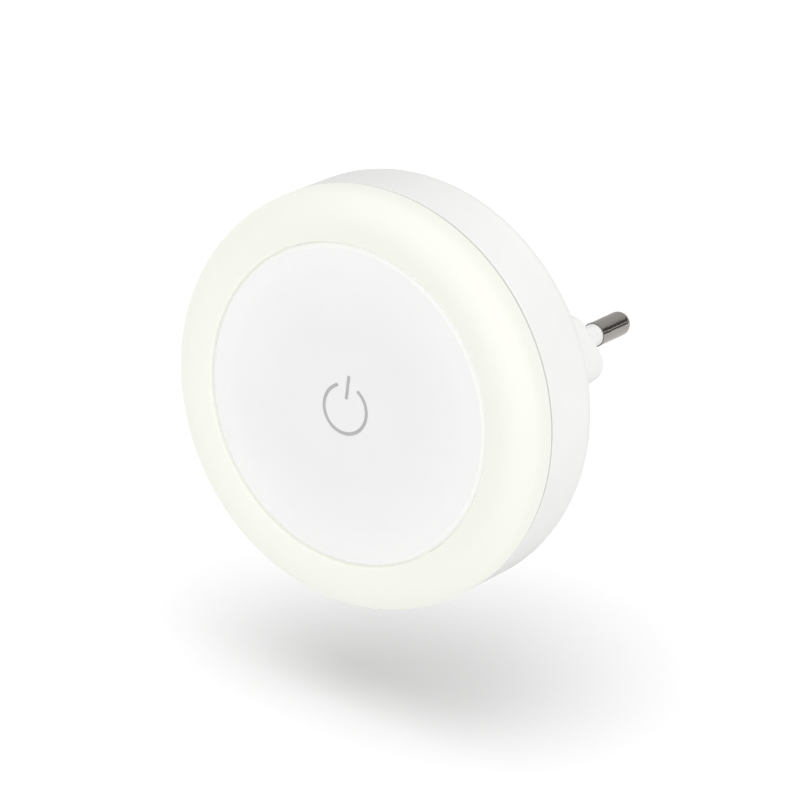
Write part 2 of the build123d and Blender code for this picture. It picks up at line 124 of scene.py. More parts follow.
# Ring
ring_inner_r = 25.1
crest_r = 28.4
ring_side = 1.3
ring_bulge = 5.7
ring_drop = 1.0
ring_wall = 1.6
skirt_wall = 1.2
lip_edge_r = 0.25
crest_steps = 20
inner_crest_steps = 12
lip_steps = 8
inner_lip_steps = 6

# Plate
plate_t = 1.5
plate_edge_r = 0.7
plate_skirt_wall = 0.8
plate_skirt_end = 38.2
actuator_r = 2.2
actuator_end = 40.05
rib_height = 1.8
rib_width = 1.0
post_count = 3
post_circle_r = 17.0
post_first_deg = 30
post_r = 1.6
barb_r = 2.1
barb_length = 1.7
barb_slot = 0.8
frame_floor = 37.2
plate_root_r = 0.4
skirt_edge_r = 0.15

# Standby sign
sign_r = 3.84
sign_stroke = 0.5
sign_gap_deg = 27.2
sign_drop = 0.45
bar_low = 1.13
bar_high = 4.87
sign_end_r = 0.16
sign_depth = 0.18
sign_clearance = 0.02
sign_steps = 96
sign_end_steps = 5

# Pins and sleeves
pin_length = 19.0
sleeve_end = 10.0
core_r = 1.4
flange_r = 2.8
flange_t = 1.0
clamp_top = 6.5
strip_t = 0.4
rivet_r = 2.0
rivet_t = 0.6
shoulder_r = 0.12
sleeve_edge_r = 0.08
sleeve_gap = 0.04
tip_steps = 16

# Springs
spring_r = 2.3
spring_wire_r = 0.25
spring_turns = 4.5
spring_seat_gap = 0.02
wire_sides = 14
steps_per_turn = 40

# How deep a piece that is added sinks into its neighbour, and how far a cut runs past the face that it opens
overlap = 0.3
cut_past = 1


def at(radius, out):
    """A point of an outline in the frame: the radius runs along X and the reach out of the wall along -Y."""
    return Vector((radius, -out, 0)) * MM


def rounded(corners, steps=6):
    """An outline whose corners, each a point with its radius, become round where the radius isn't zero."""
    points = []
    for number, (x, y, corner_r) in enumerate(corners):
        corner = Vector((x, y))
        if not corner_r:
            points.append(corner)
            continue
        before = (Vector(corners[number - 1][:2]) - corner).normalized()
        after = (Vector(corners[(number + 1) % len(corners)][:2]) - corner).normalized()
        half = before.angle(after) / 2
        middle = corner + (before + after).normalized() * corner_r / math.sin(half)
        start = corner + before * corner_r / math.tan(half) - middle
        end = corner + after * corner_r / math.tan(half) - middle
        points += [middle + start.slerp(end, step / steps) * corner_r for step in range(steps + 1)]
    return [tuple(point) for point in points]


def arc(centre, radii, start_deg, end_deg, steps):
    """Points of a round or elliptical arc, both ends included."""
    points = []
    for step in range(steps + 1):
        angle = math.radians(start_deg + (end_deg - start_deg) * step / steps)
        points.append((centre[0] + radii[0] * math.cos(angle), centre[1] + radii[1] * math.sin(angle)))
    return points


def around(count, radius, first_deg):
    """Places evenly spaced round the lamp's axis, as X and Z in millimetres with the direction in degrees."""
    for number in range(count):
        direction = first_deg + number * 360 / count
        angle = math.radians(direction)
        yield radius * math.cos(angle), radius * math.sin(angle), direction


def pick(piece):
    """Only this piece is selected."""
    bpy.ops.object.select_all(action="DESELECT")
    bpy.context.view_layer.objects.active = piece
    piece.select_set(True)


def edit(piece):
    """Only this piece is selected and open for editing."""
    pick(piece)
    bpy.ops.object.mode_set(mode="EDIT")


def done():
    """Editing ends."""
    bpy.ops.object.mode_set(mode="OBJECT")


def named(name):
    """The new primitive under its own name."""
    piece = bpy.context.object
    piece.name = name
    piece.data.name = name
    return piece


def settle(piece):
    """The place and turn of a piece go into its mesh, and its object stays at the origin."""
    pick(piece)
    bpy.ops.object.transform_apply(location=True, rotation=True, scale=True)
    return piece


def weld(piece):
    """Doubled points are merged and every face is turned to the outside."""
    edit(piece)
    bpy.ops.mesh.select_all(action="SELECT")
    bpy.ops.mesh.remove_doubles(threshold=WELD)
    bpy.ops.mesh.delete_loose(use_verts=True, use_edges=True, use_faces=False)
    bpy.ops.mesh.select_all(action="SELECT")
    bpy.ops.mesh.normals_make_consistent(inside=False)
    done()
    return piece


def smooth(piece):
    """Soft shading with sharp edges kept, and flat faces that stay flat beside their rounded edges."""
    pick(piece)
    bpy.ops.object.shade_smooth_by_angle(angle=SHARP_EDGE)
    bpy.ops.object.modifier_add(type="WEIGHTED_NORMAL")
    piece.modifiers[-1].keep_sharp = True
    bpy.ops.object.modifier_apply(modifier=piece.modifiers[-1].name)
    return piece


def turned(name, outline, centre=(0, 0), steps=TURN_STEPS):
    """A closed outline of (radius, reach) points spun about an axis that runs out of the wall."""
    bpy.ops.object.select_all(action="DESELECT")
    bpy.ops.mesh.primitive_plane_add(size=MM)
    piece = named(name)
    bpy.ops.object.mode_set(mode="EDIT")
    bpy.ops.mesh.merge(type="CENTER")
    here = at(*outline[0])
    bpy.ops.transform.translate(value=here)
    for radius, out in outline[1:] + outline[:1]:
        there = at(radius, out)
        bpy.ops.mesh.extrude_region_move(TRANSFORM_OT_translate={"value": there - here})
        here = there
    bpy.ops.mesh.select_all(action="SELECT")
    bpy.ops.mesh.spin(steps=steps, angle=math.tau, center=(0, 0, 0), axis=(0, 1, 0))
    bpy.ops.mesh.select_all(action="SELECT")
    bpy.ops.transform.translate(value=Vector((centre[0], 0, centre[1])) * MM)
    done()
    return weld(piece)


def rod(name, radius, low, high, centre=(0, 0), steps=SMALL_TURN_STEPS):
    """A plain rod between two reaches, to add to a piece or to cut from it."""
    bpy.ops.object.select_all(action="DESELECT")
    place = Vector((centre[0], -(low + high) / 2, centre[1])) * MM
    length = (high - low) * MM
    upright = (math.pi / 2, 0, 0)
    bpy.ops.mesh.primitive_cylinder_add(
        vertices=steps, radius=radius * MM, depth=length, location=place, rotation=upright
    )
    return settle(named(name))


def block(name, size, low, high, centre=(0, 0), turn_deg=0):
    """A plain block of (X, Z) size between two reaches, turned about its own middle."""
    bpy.ops.object.select_all(action="DESELECT")
    place = Vector((centre[0], -(low + high) / 2, centre[1])) * MM
    bpy.ops.mesh.primitive_cube_add(size=1, location=place, rotation=(0, -math.radians(turn_deg), 0))
    piece = named(name)
    piece.scale = Vector((size[0], high - low, size[1])) * MM
    return settle(piece)


def combine(piece, other, operation):
    """Adds another piece to this one or cuts it away, and removes the other."""
    pick(piece)
    bpy.ops.object.modifier_add(type="BOOLEAN")
    step = piece.modifiers[-1]
    step.operation = operation
    step.solver = "EXACT"
    step.object = other
    bpy.ops.object.modifier_apply(modifier=step.name)
    bpy.data.objects.remove(other)
    return piece


def plug_outline(name, grow, out):
    """The plug's flat outline at one reach, grown all round by an even margin and left open for editing."""
    bpy.ops.object.select_all(action="DESELECT")
    bpy.ops.mesh.primitive_plane_add(size=1, rotation=(-math.pi / 2, 0, 0))
    piece = named(name)
    bpy.ops.object.mode_set(mode="EDIT")
    half_w = plug_half_w + grow
    half_h = plug_half_h + grow
    bpy.ops.transform.resize(value=(2 * half_w * MM, 1, 2 * half_h * MM))
    bpy.ops.transform.translate(value=at(0, out))
    # A corner cut at 45 degrees moves out by the same margin as the sides when its cut grows by this much
    cut = plug_bevel + (2 - math.sqrt(2)) * grow
    bpy.ops.mesh.bevel(offset=cut * MM, affect="VERTICES", segments=1)
    bpy.ops.mesh.select_all(action="SELECT")
    corner = (plug_corner_r + grow) * math.tan(math.radians(45 / 2))
    bpy.ops.mesh.bevel(offset=corner * MM, affect="VERTICES", segments=plug_corner_steps, profile=0.5)
    return piece


def close_below(piece, depth):
    """Turns the open sheet in edit mode into a closed body: its rim is drawn out and capped."""
    bpy.ops.mesh.select_all(action="DESELECT")
    bpy.ops.mesh.select_non_manifold()
    bpy.ops.mesh.extrude_region_move(TRANSFORM_OT_translate={"value": at(0, depth)})
    bpy.ops.mesh.edge_face_add()
    done()
    return weld(piece)


def inset_round(radius, flares, steps=6):
    """Draws the chosen face in along a quarter circle, as a fillet that flares or as a rounded edge."""
    turn = math.radians(90 / steps)
    for step in range(steps):
        rise = radius * (math.sin(turn * (step + 1)) - math.sin(turn * step))
        fall = radius * (math.cos(turn * step) - math.cos(turn * (step + 1)))
        inwards, along = (rise, fall) if flares else (fall, rise)
        bpy.ops.mesh.inset(thickness=inwards * MM, depth=along * MM)


def plug_body():
    """Plug body with its rounded end and the fillet that flares into the drum's back."""
    piece = plug_outline("plug_body", root_r, back_out)
    inset_round(root_r, flares=True)
    straight = back_out - root_r - plug_edge_r
    bpy.ops.mesh.extrude_region_move(TRANSFORM_OT_translate={"value": at(0, -straight)})
    inset_round(plug_edge_r, flares=False)
    return close_below(piece, root_sink)


def plug_room():
    """The room inside the plug body, reaching into the drum."""
    piece = plug_outline("plug_room", -wall, end_wall)
    return close_below(piece, back_out + wall)


def drum_shell():
    """The drum's closed shell: land, cone, side, thinned rim and the room inside."""
    lift = wall * math.hypot(1, cone_slope)
    inner_r = drum_r - wall
    inner_rim = rim_start - wall * cone_slope + lift
    inner_land = back_out + wall
    inner_land_r = drum_r - (rim_start + lift - inner_land) / cone_slope
    rim_inner_r = tongue_r + tongue_clearance
    groove_r = bead_r + tongue_clearance / 2
    groove_at = (rim_inner_r, tongue_end + bead_over_tongue_end)
    groove = arc(groove_at, (groove_r, groove_r), -90, 90, bead_steps)
    return turned("rear_shell", rounded([
        (0, back_out, 0),
        (land_r, back_out, land_edge_r),
        (drum_r, rim_start, rim_r),
        (drum_r, rim_out, seam_edge_r),
        (rim_inner_r, rim_out, seam_edge_r),
        *[(radius, out, 0) for radius, out in reversed(groove)],
        (rim_inner_r, tongue_end, 0),
        (inner_r, tongue_end, seam_edge_r),
        (inner_r, inner_rim, wall),
        (inner_land_r, inner_land, wall),
        (0, inner_land, 0),
    ]))


def rear_shell():
    """Rear housing: drum and plug body in one moulding, with the screw bosses and the pin holes."""
    shell = combine(drum_shell(), plug_body(), "UNION")
    combine(shell, plug_room(), "DIFFERENCE")
    boss_foot = back_out + (boss_circle_r - boss_r - land_r) * cone_slope + wall + wall
    boss_top = end_wall + clamp_boss_h
    hole_r = pin_sleeve_r + sleeve_gap
    for x, z, _ in around(boss_count, boss_circle_r, boss_first_deg):
        combine(shell, rod("boss", boss_r, boss_foot, board_bottom, (x, z)), "UNION")
        combine(shell, rod("pilot", pilot_r, pilot_low, board_bottom + cut_past, (x, z)), "DIFFERENCE")
    for side in (-1, 1):
        pin_at = (side * pin_x, 0)
        combine(shell, rod("pin_hole", hole_r, -cut_past, end_wall + cut_past, pin_at), "DIFFERENCE")
        boss_at = (side * clamp_boss_x, 0)
        combine(shell, rod("clamp_boss", clamp_boss_r, end_wall - overlap, boss_top, boss_at), "UNION")
        pilot = rod("clamp_pilot", pilot_r, clamp_pilot_low, boss_top + cut_past, boss_at)
        combine(shell, pilot, "DIFFERENCE")
    return smooth(weld(shell))


def glow_ring():
    """Opal ring: bulged front, rounded lip by the plate, inner skirt and snap tongue."""
    shoulder = rim_out + seam_gap
    roll = rim_out + seam_gap / 2 + ring_side
    lip = crest_out - ring_drop
    skirt_r = ring_inner_r + skirt_wall
    inner_r = drum_r - wall
    roll_r = drum_r - crest_r
    inner_bulge = ring_bulge - ring_wall
    outer = arc((crest_r, roll), (roll_r, ring_bulge), 0, 90, crest_steps)
    inner = arc((crest_r, roll), (inner_r - crest_r, inner_bulge), 90, 0, inner_crest_steps)
    front = crest_to_lip(crest_r, crest_out, ring_inner_r, lip, lip_steps)
    back = crest_to_lip(crest_r, crest_out - ring_wall, skirt_r, lip - ring_wall, inner_lip_steps)
    corners = [(drum_r, shoulder, seam_edge_r)]
    corners += [(x, y, 0) for x, y in outer + front[1:-1]]
    corners += [(ring_inner_r, lip, lip_edge_r), (ring_inner_r, skirt_seat, 0), (skirt_r, skirt_seat, 0)]
    corners += [(x, y, 0) for x, y in list(reversed(back)) + inner[1:]]
    corners += [(inner_r, tongue_end, seam_edge_r), (tongue_r, tongue_end, seam_edge_r)]
    bead_at = (tongue_r, tongue_end + bead_over_tongue_end)
    bead = arc(bead_at, (bead_r, bead_r), -90, 90, bead_steps)
    corners += [(x, y, 0) for x, y in bead] + [(tongue_r, shoulder, 0)]
    return smooth(turned("glow_ring", rounded(corners)))


def crest_to_lip(high_r, high_out, low_r, low_out, steps):
    """Points of the arc that leaves the crest level and comes down to the lip."""
    run = high_r - low_r
    drop = high_out - low_out
    arc_r = (run * run + drop * drop) / (2 * drop)
    turn_deg = math.degrees(2 * math.atan2(drop, run))
    return arc((high_r, high_out - arc_r), (arc_r, arc_r), 90, 90 + turn_deg, steps)


def press_cap():
    """Plate that is pressed: face, skirt, actuator, ribs, barbed posts and the sign's shallow recess."""
    under = plate_face - plate_t
    inner_r = plate_r - plate_skirt_wall
    cap = turned("plate_cap", rounded([
        (0, plate_face, 0),
        (plate_r, plate_face, plate_edge_r),
        (plate_r, plate_skirt_end, skirt_edge_r),
        (inner_r, plate_skirt_end, skirt_edge_r),
        (inner_r, under, plate_root_r),
        (0, under, 0),
    ]))
    combine(cap, rod("actuator", actuator_r, actuator_end, under + overlap), "UNION")
    rib_size = (inner_r + overlap, rib_width)
    for x, z, direction in around(post_count, inner_r / 2, post_first_deg + 180 / post_count):
        rib = block("rib", rib_size, under - rib_height, under + overlap, (x, z), direction)
        combine(cap, rib, "UNION")
    for x, z, direction in around(post_count, post_circle_r, post_first_deg):
        combine(cap, guide_post(x, z, direction), "UNION")
    combine(cap, standby_sign("sign_recess", sign_clearance, plate_face + overlap), "DIFFERENCE")
    return smooth(weld(cap))


def guide_post(x, z, direction):
    """Guide post with a split barb at its end."""
    tip = barb_end
    top = plate_face - plate_t + overlap
    post = turned("guide_post", [
        (0, tip),
        (post_r, tip),
        (barb_r, tip + barb_length),
        (post_r, tip + barb_length),
        (post_r, top),
        (0, top),
    ], (x, z), SMALL_TURN_STEPS)
    slot_size = (barb_slot, 4 * barb_r)
    slot = block("barb_slot", slot_size, tip - cut_past, frame_floor, (x, z), direction)
    return combine(post, slot, "DIFFERENCE")


def standby_sign(name, grow, top):
    """The standby sign as a thin solid, grown on all sides by an even margin: an open circle and a bar."""
    half = sign_stroke / 2 + grow
    low = plate_face - sign_depth - grow
    bpy.ops.object.select_all(action="DESELECT")
    bpy.ops.mesh.primitive_plane_add(size=1)
    circle = named(name)
    bpy.ops.object.mode_set(mode="EDIT")
    bpy.ops.transform.resize(value=(2 * half * MM, (top - low) * MM, 1))
    bpy.ops.transform.translate(value=at(sign_r, (top + low) / 2))
    open_deg = sign_gap_deg - math.degrees(grow / sign_r)
    first = math.radians(90 + open_deg)
    bpy.ops.transform.rotate(value=first, orient_axis="Y", center_override=(0, 0, 0))
    bpy.ops.mesh.select_all(action="SELECT")
    sweep = math.tau - 2 * math.radians(open_deg)
    bpy.ops.mesh.spin(steps=sign_steps, angle=sweep, center=(0, 0, 0), axis=(0, 1, 0))
    bpy.ops.mesh.select_all(action="SELECT")
    bpy.ops.transform.translate(value=Vector((0, 0, -sign_drop)) * MM)
    done()
    round_ends(weld(circle))
    middle = (bar_low + bar_high) / 2
    bar = block("sign_bar", (2 * half, bar_high - bar_low + 2 * grow), low, top, (0, middle))
    return combine(circle, round_ends(bar), "UNION")


def round_ends(stroke):
    """The upright edges at a stroke's square ends become round."""
    beside = {}
    for face in stroke.data.polygons:
        for key in face.edge_keys:
            beside.setdefault(key, []).append(face.normal.copy())
    edit(stroke)
    bpy.ops.mesh.select_mode(type="EDGE")
    bpy.ops.mesh.select_all(action="DESELECT")
    done()
    points = stroke.data.vertices
    for edge in stroke.data.edges:
        first, last = (points[number].co for number in edge.vertices)
        upright = abs((last - first).normalized().y) > UPRIGHT
        one, other = beside[tuple(sorted(edge.vertices))]
        edge.select = upright and one.angle(other) > SHARP_EDGE
    edit(stroke)
    bpy.ops.mesh.bevel(offset=sign_end_r * MM, segments=sign_end_steps, affect="EDGES")
    bpy.ops.mesh.select_mode(type="VERT")
    done()
    return stroke


def plug_pin():
    """Plug pin: round-ended bare tip, thin core in the sleeve, flange and riveted tail."""
    seat = end_wall + flange_t
    tail = clamp_top + strip_t
    outline = rounded([
        (0, tail + rivet_t, 0),
        (rivet_r, tail + rivet_t, rivet_t / 2),
        (rivet_r, tail, 0),
        (core_r, tail, 0),
        (core_r, seat, 0),
        (flange_r, seat, shoulder_r),
        (flange_r, end_wall, shoulder_r),
        (core_r, end_wall, 0),
        (core_r, -sleeve_end, 0),
        (pin_r, -sleeve_end, shoulder_r),
    ])
    tip = arc((0, pin_r - pin_length), (pin_r, pin_r), 0, -90, tip_steps)
    return smooth(turned("round_pin", outline + tip, steps=SMALL_TURN_STEPS))


def pin_sleeve():
    """Insulating sleeve on the pin's core, with its outer edge softly rounded."""
    return smooth(turned("sleeve", rounded([
        (core_r, -sleeve_end, 0),
        (pin_sleeve_r, -sleeve_end, sleeve_edge_r),
        (pin_sleeve_r, end_wall, 0),
        (core_r, end_wall, 0),
    ]), steps=SMALL_TURN_STEPS))


def return_spring():
    """Compression spring of round wire with closed wire ends."""
    under = plate_face - plate_t
    low = frame_floor + spring_wire_r + spring_seat_gap
    height = under - frame_floor - 2 * (spring_wire_r + spring_seat_gap)
    bpy.ops.object.select_all(action="DESELECT")
    place = at(spring_r, low)
    bpy.ops.mesh.primitive_circle_add(vertices=wire_sides, radius=spring_wire_r * MM, location=place)
    spring = settle(named("coil_spring"))
    bpy.ops.object.modifier_add(type="SCREW")
    coil = spring.modifiers[-1]
    coil.axis = "Y"
    coil.angle = spring_turns * math.tau
    coil.screw_offset = -height * MM
    coil.steps = coil.render_steps = round(spring_turns * steps_per_turn)
    coil.use_merge_vertices = False
    bpy.ops.object.modifier_apply(modifier=coil.name)
    edit(spring)
    bpy.ops.mesh.select_all(action="DESELECT")
    bpy.ops.mesh.select_non_manifold()
    bpy.ops.mesh.edge_face_add()
    done()
    return smooth(weld(spring))


def copy_to(pattern, name, x, z=0):
    """A copy of a piece that was made on the lamp's axis, with a mesh of its own, moved to its place."""
    pick(pattern)
    bpy.ops.object.duplicate(linked=False)
    bpy.ops.transform.translate(value=Vector((x, 0, z)) * MM)
    return settle(named(name))


rear = rear_shell()
ring = glow_ring()
cap = press_cap()
sign = smooth(standby_sign("standby_sign", 0, plate_face))

# Pins, sleeves and springs are made once and copied, the springs to the guide posts that they stand round
sides = {"left": -pin_x, "right": pin_x}
pin = plug_pin()
sleeve = pin_sleeve()
spring = return_spring()
pins = {side: copy_to(pin, f"round_pin_{side}", x) for side, x in sides.items()}
sleeves = {side: copy_to(sleeve, f"sleeve_{side}", x) for side, x in sides.items()}
springs = [
    copy_to(spring, f"coil_spring_{number}", x, z)
    for number, (x, z, _) in enumerate(around(post_count, post_circle_r, post_first_deg), 1)
]
for pattern in (pin, sleeve, spring):
    bpy.data.objects.remove(pattern)

# Relief of the finishes with its depth in metres, the bounds of the clouds in moulded plastic, and the scale
# of metal's dull patches with the share of its colour that they keep
relief_strength = 0.1
relief_depth = 0.00005
clouds_from = 0.35
clouds_to = 0.65
patch_scale = 350
dull_share = 0.85

# Colours of the markings and leads on the small parts
tin = (0.6, 0.6, 0.58)
glass_fibre = (0.55, 0.47, 0.26)
phosphor = (0.85, 0.62, 0.08)
stripe_grey = (0.55, 0.56, 0.58)
diode_mark = (0.7, 0.7, 0.68)

# Places of those markings. half_turned parts the faces that look into the wall or out of it from those that
# look sideways. The rest are the depth of the LED's well, the bare ends, the smoothing capacitor's stripe,
# the diode's bar, and the bands along the resistor with their colours.
half_turned = 0.5
led_well = 0.1
lead_part = 1.85
chip_lead = 0.95
bleed_body_share = 0.75
stripe_from = 0.8
diode_mark_at = -0.7
band_half = 0.35
resistor_bands = (
    (-2.4, (0.35, 0.03, 0.02)),
    (-1.2, (0.02, 0.02, 0.02)),
    (0, (0.3, 0.1, 0.02)),
    (2.2, (0.55, 0.4, 0.1)),
)

# Levels of the ring's own glow, and of the painted light on the plate and the frame beside it that stands in
# for the ring's light falling there and fills the shade of the groove, and where they change: at a radius, or
# at a band that is measured inwards from the edge it belongs to
glow_tint = (1, 1.015, 0.93)
ring_glow = 0.485
lip_glow = 0.525
ring_side_glow = 0.45
ring_side_band = 0.4
frame_painted_light = 0.4
frame_painted_light_band = 2
plate_painted_light_from_r = 12
plate_faint_painted_light_r = 19
plate_faint_painted_light = 0.025
plate_painted_light_r = 22
plate_painted_light = 0.05
plate_edge_painted_light_band = 0.2
plate_edge_painted_light = 0.15
plate_wall_painted_light = 0.35

# How much of the glow and of the painted light that is seen also falls on what lies beside it
glow_cast = 0.4


def add(tree, kind, **settings):
    """A new node with its settings."""
    made = tree.nodes.new(kind)
    for key, value in settings.items():
        setattr(made, key, value)
    return made


def group(name, inputs, outputs):
    """An empty node group with its inputs, each a name with a kind and a value, and its outputs."""
    tree = bpy.data.node_groups.new(name, "ShaderNodeTree")
    for label, kind, value in inputs:
        socket = tree.interface.new_socket(name=label, in_out="INPUT", socket_type="NodeSocket" + kind)
        socket.default_value = value
    for label, kind in outputs:
        tree.interface.new_socket(name=label, in_out="OUTPUT", socket_type="NodeSocket" + kind)
    return tree, add(tree, "NodeGroupInput"), add(tree, "NodeGroupOutput")


def moulded_plastic():
    """Plastic from a mould: faint clouds in the colour, uneven gloss and a very fine skin."""
    tree, given, out = group("moulded plastic", [
        ("Colour", "Color", (0.8, 0.8, 0.8, 1)),
        ("Cloud colour", "Color", (0.75, 0.75, 0.75, 1)),
        ("Cloud scale", "Float", 60),
        ("Roughness", "Float", 0.4),
        ("Gloss spread", "Float", 0.08),
        ("Skin scale", "Float", 4000),
    ], [("Colour", "Color"), ("Roughness", "Float"), ("Height", "Float")])
    link = tree.links.new
    place = add(tree, "ShaderNodeTexCoord").outputs["Object"]
    cloud = add(tree, "ShaderNodeTexNoise")
    cloud.inputs["Detail"].default_value = 3
    link(place, cloud.inputs["Vector"])
    link(given.outputs["Cloud scale"], cloud.inputs["Scale"])
    spread = add(tree, "ShaderNodeMapRange")
    spread.inputs["From Min"].default_value = clouds_from
    spread.inputs["From Max"].default_value = clouds_to
    link(cloud.outputs["Fac"], spread.inputs["Value"])
    blend = add(tree, "ShaderNodeMix", data_type="RGBA")
    link(spread.outputs["Result"], blend.inputs["Factor"])
    link(given.outputs["Colour"], blend.inputs["A"])
    link(given.outputs["Cloud colour"], blend.inputs["B"])
    skin = add(tree, "ShaderNodeTexNoise")
    skin.inputs["Detail"].default_value = 2
    link(place, skin.inputs["Vector"])
    link(given.outputs["Skin scale"], skin.inputs["Scale"])
    gloss = add(tree, "ShaderNodeMath", operation="MULTIPLY_ADD")
    link(cloud.outputs["Fac"], gloss.inputs[0])
    link(given.outputs["Gloss spread"], gloss.inputs[1])
    link(given.outputs["Roughness"], gloss.inputs[2])
    link(blend.outputs["Result"], out.inputs["Colour"])
    link(gloss.outputs["Value"], out.inputs["Roughness"])
    link(skin.outputs["Fac"], out.inputs["Height"])
    return tree


def drawn_metal():
    """Metal drawn along the lamp's axis: long fine lines, dull patches, uneven gloss and shallow dents."""
    tree, given, out = group("drawn metal", [
        ("Colour", "Color", (0.6, 0.6, 0.6, 1)),
        ("Dull colour", "Color", (0.5, 0.5, 0.5, 1)),
        ("Roughness", "Float", 0.25),
        ("Gloss spread", "Float", 0.15),
        ("Line stretch", "Vector", (1, 0.03, 1)),
        ("Line scale", "Float", 5000),
        ("Dents", "Float", 0),
    ], [("Colour", "Color"), ("Roughness", "Float"), ("Height", "Float")])
    link = tree.links.new
    place = add(tree, "ShaderNodeTexCoord").outputs["Object"]
    stretch = add(tree, "ShaderNodeVectorMath", operation="MULTIPLY")
    link(place, stretch.inputs[0])
    link(given.outputs["Line stretch"], stretch.inputs[1])
    lines = add(tree, "ShaderNodeTexNoise")
    lines.inputs["Detail"].default_value = 2
    link(stretch.outputs["Vector"], lines.inputs["Vector"])
    link(given.outputs["Line scale"], lines.inputs["Scale"])
    patch = add(tree, "ShaderNodeTexNoise")
    patch.inputs["Scale"].default_value = patch_scale
    patch.inputs["Detail"].default_value = 4
    link(place, patch.inputs["Vector"])
    blend = add(tree, "ShaderNodeMix", data_type="RGBA")
    link(patch.outputs["Fac"], blend.inputs["Factor"])
    link(given.outputs["Colour"], blend.inputs["A"])
    link(given.outputs["Dull colour"], blend.inputs["B"])
    gloss = add(tree, "ShaderNodeMath", operation="MULTIPLY_ADD")
    link(patch.outputs["Fac"], gloss.inputs[0])
    link(given.outputs["Gloss spread"], gloss.inputs[1])
    link(given.outputs["Roughness"], gloss.inputs[2])
    uneven = add(tree, "ShaderNodeMath", operation="MULTIPLY_ADD")
    link(patch.outputs["Fac"], uneven.inputs[0])
    link(given.outputs["Dents"], uneven.inputs[1])
    link(lines.outputs["Fac"], uneven.inputs[2])
    link(blend.outputs["Result"], out.inputs["Colour"])
    link(gloss.outputs["Value"], out.inputs["Roughness"])
    link(uneven.outputs["Value"], out.inputs["Height"])
    return tree


moulded = moulded_plastic()
drawn = drawn_metal()


def finish(name, effect, values, metallic=0):
    """A material whose colour, gloss and relief come from a node group with this finish's own values."""
    material = bpy.data.materials.new(name)
    material.use_nodes = True
    tree = material.node_tree
    shader = tree.nodes["Principled BSDF"]
    shader.inputs["Metallic"].default_value = metallic
    made = add(tree, "ShaderNodeGroup", node_tree=effect)
    made.name = effect.name
    for label, value in values.items():
        made.inputs[label].default_value = value
    bump = add(tree, "ShaderNodeBump")
    bump.inputs["Strength"].default_value = relief_strength
    bump.inputs["Distance"].default_value = relief_depth
    tree.links.new(made.outputs["Colour"], shader.inputs["Base Color"])
    tree.links.new(made.outputs["Roughness"], shader.inputs["Roughness"])
    tree.links.new(made.outputs["Height"], bump.inputs["Height"])
    tree.links.new(bump.outputs["Normal"], shader.inputs["Normal"])
    return material


def glow_and_painted_light_by_radius(material, stops):
    """Emitted light by the distance from the lamp's axis, in stops of (radius in mm, level); off the ring it
    is painted light.
    """
    tree = material.node_tree
    link = tree.links.new
    flatten = add(tree, "ShaderNodeVectorMath", operation="MULTIPLY")
    flatten.inputs[1].default_value = (1, 0, 1)
    link(add(tree, "ShaderNodeTexCoord").outputs["Object"], flatten.inputs[0])
    length = add(tree, "ShaderNodeVectorMath", operation="LENGTH")
    link(flatten.outputs["Vector"], length.inputs[0])
    first, last = stops[0][0], stops[-1][0]
    share = add(tree, "ShaderNodeMapRange")
    share.inputs["From Min"].default_value = first * MM
    share.inputs["From Max"].default_value = last * MM
    link(length.outputs["Value"], share.inputs["Value"])
    ramp = add(tree, "ShaderNodeValToRGB")
    link(share.outputs["Result"], ramp.inputs["Fac"])
    colours(ramp, [((radius - first) / (last - first), warm(level)) for radius, level in stops])
    shader = tree.nodes["Principled BSDF"]
    seen = add(tree, "ShaderNodeMapRange")
    seen.inputs["To Min"].default_value = glow_cast
    link(add(tree, "ShaderNodeLightPath").outputs["Is Camera Ray"], seen.inputs["Value"])
    glow = add(tree, "ShaderNodeMix", data_type="RGBA", blend_type="MULTIPLY")
    glow.inputs["Factor"].default_value = 1
    link(ramp.outputs["Color"], glow.inputs["A"])
    link(seen.outputs["Result"], glow.inputs["B"])
    link(glow.outputs["Result"], shader.inputs["Emission Color"])
    shader.inputs["Emission Strength"].default_value = 1
    return material


def colours(ramp, stops):
    """Sets a colour ramp's stops, each a place from 0 to 1 with a colour."""
    made = ramp.color_ramp.elements
    while len(made) > 1:
        made.remove(made[-1])
    made[0].position, made[0].color = stops[0][0], (*stops[0][1], 1)
    for place, colour in stops[1:]:
        made.new(place).color = (*colour, 1)


def plastic(name, colour, cloud_share=0.97, roughness=0.38):
    """Moulded plastic of one colour, whose clouds are a little darker."""
    cloud = [channel * cloud_share for channel in colour]
    values = {"Colour": (*colour, 1), "Cloud colour": (*cloud, 1), "Roughness": roughness}
    return finish(name, moulded, values)


def metal(name, colour, roughness=0.22, dents=0):
    """Drawn metal of one colour, whose dull patches are darker, with dents if asked."""
    dull = [channel * dull_share for channel in colour]
    values = {"Colour": (*colour, 1), "Dull colour": (*dull, 1), "Roughness": roughness, "Dents": dents}
    return finish(name, drawn, values, metallic=1)


def warm(level):
    """The lamp's faintly yellow light at a level."""
    return [level * channel for channel in glow_tint]


opal = plastic("opal plastic", (0.44, 0.45, 0.415), cloud_share=0.985, roughness=0.45)
plate_plastic = plastic("plate plastic", (0.93, 0.93, 0.93), cloud_share=0.985, roughness=0.42)

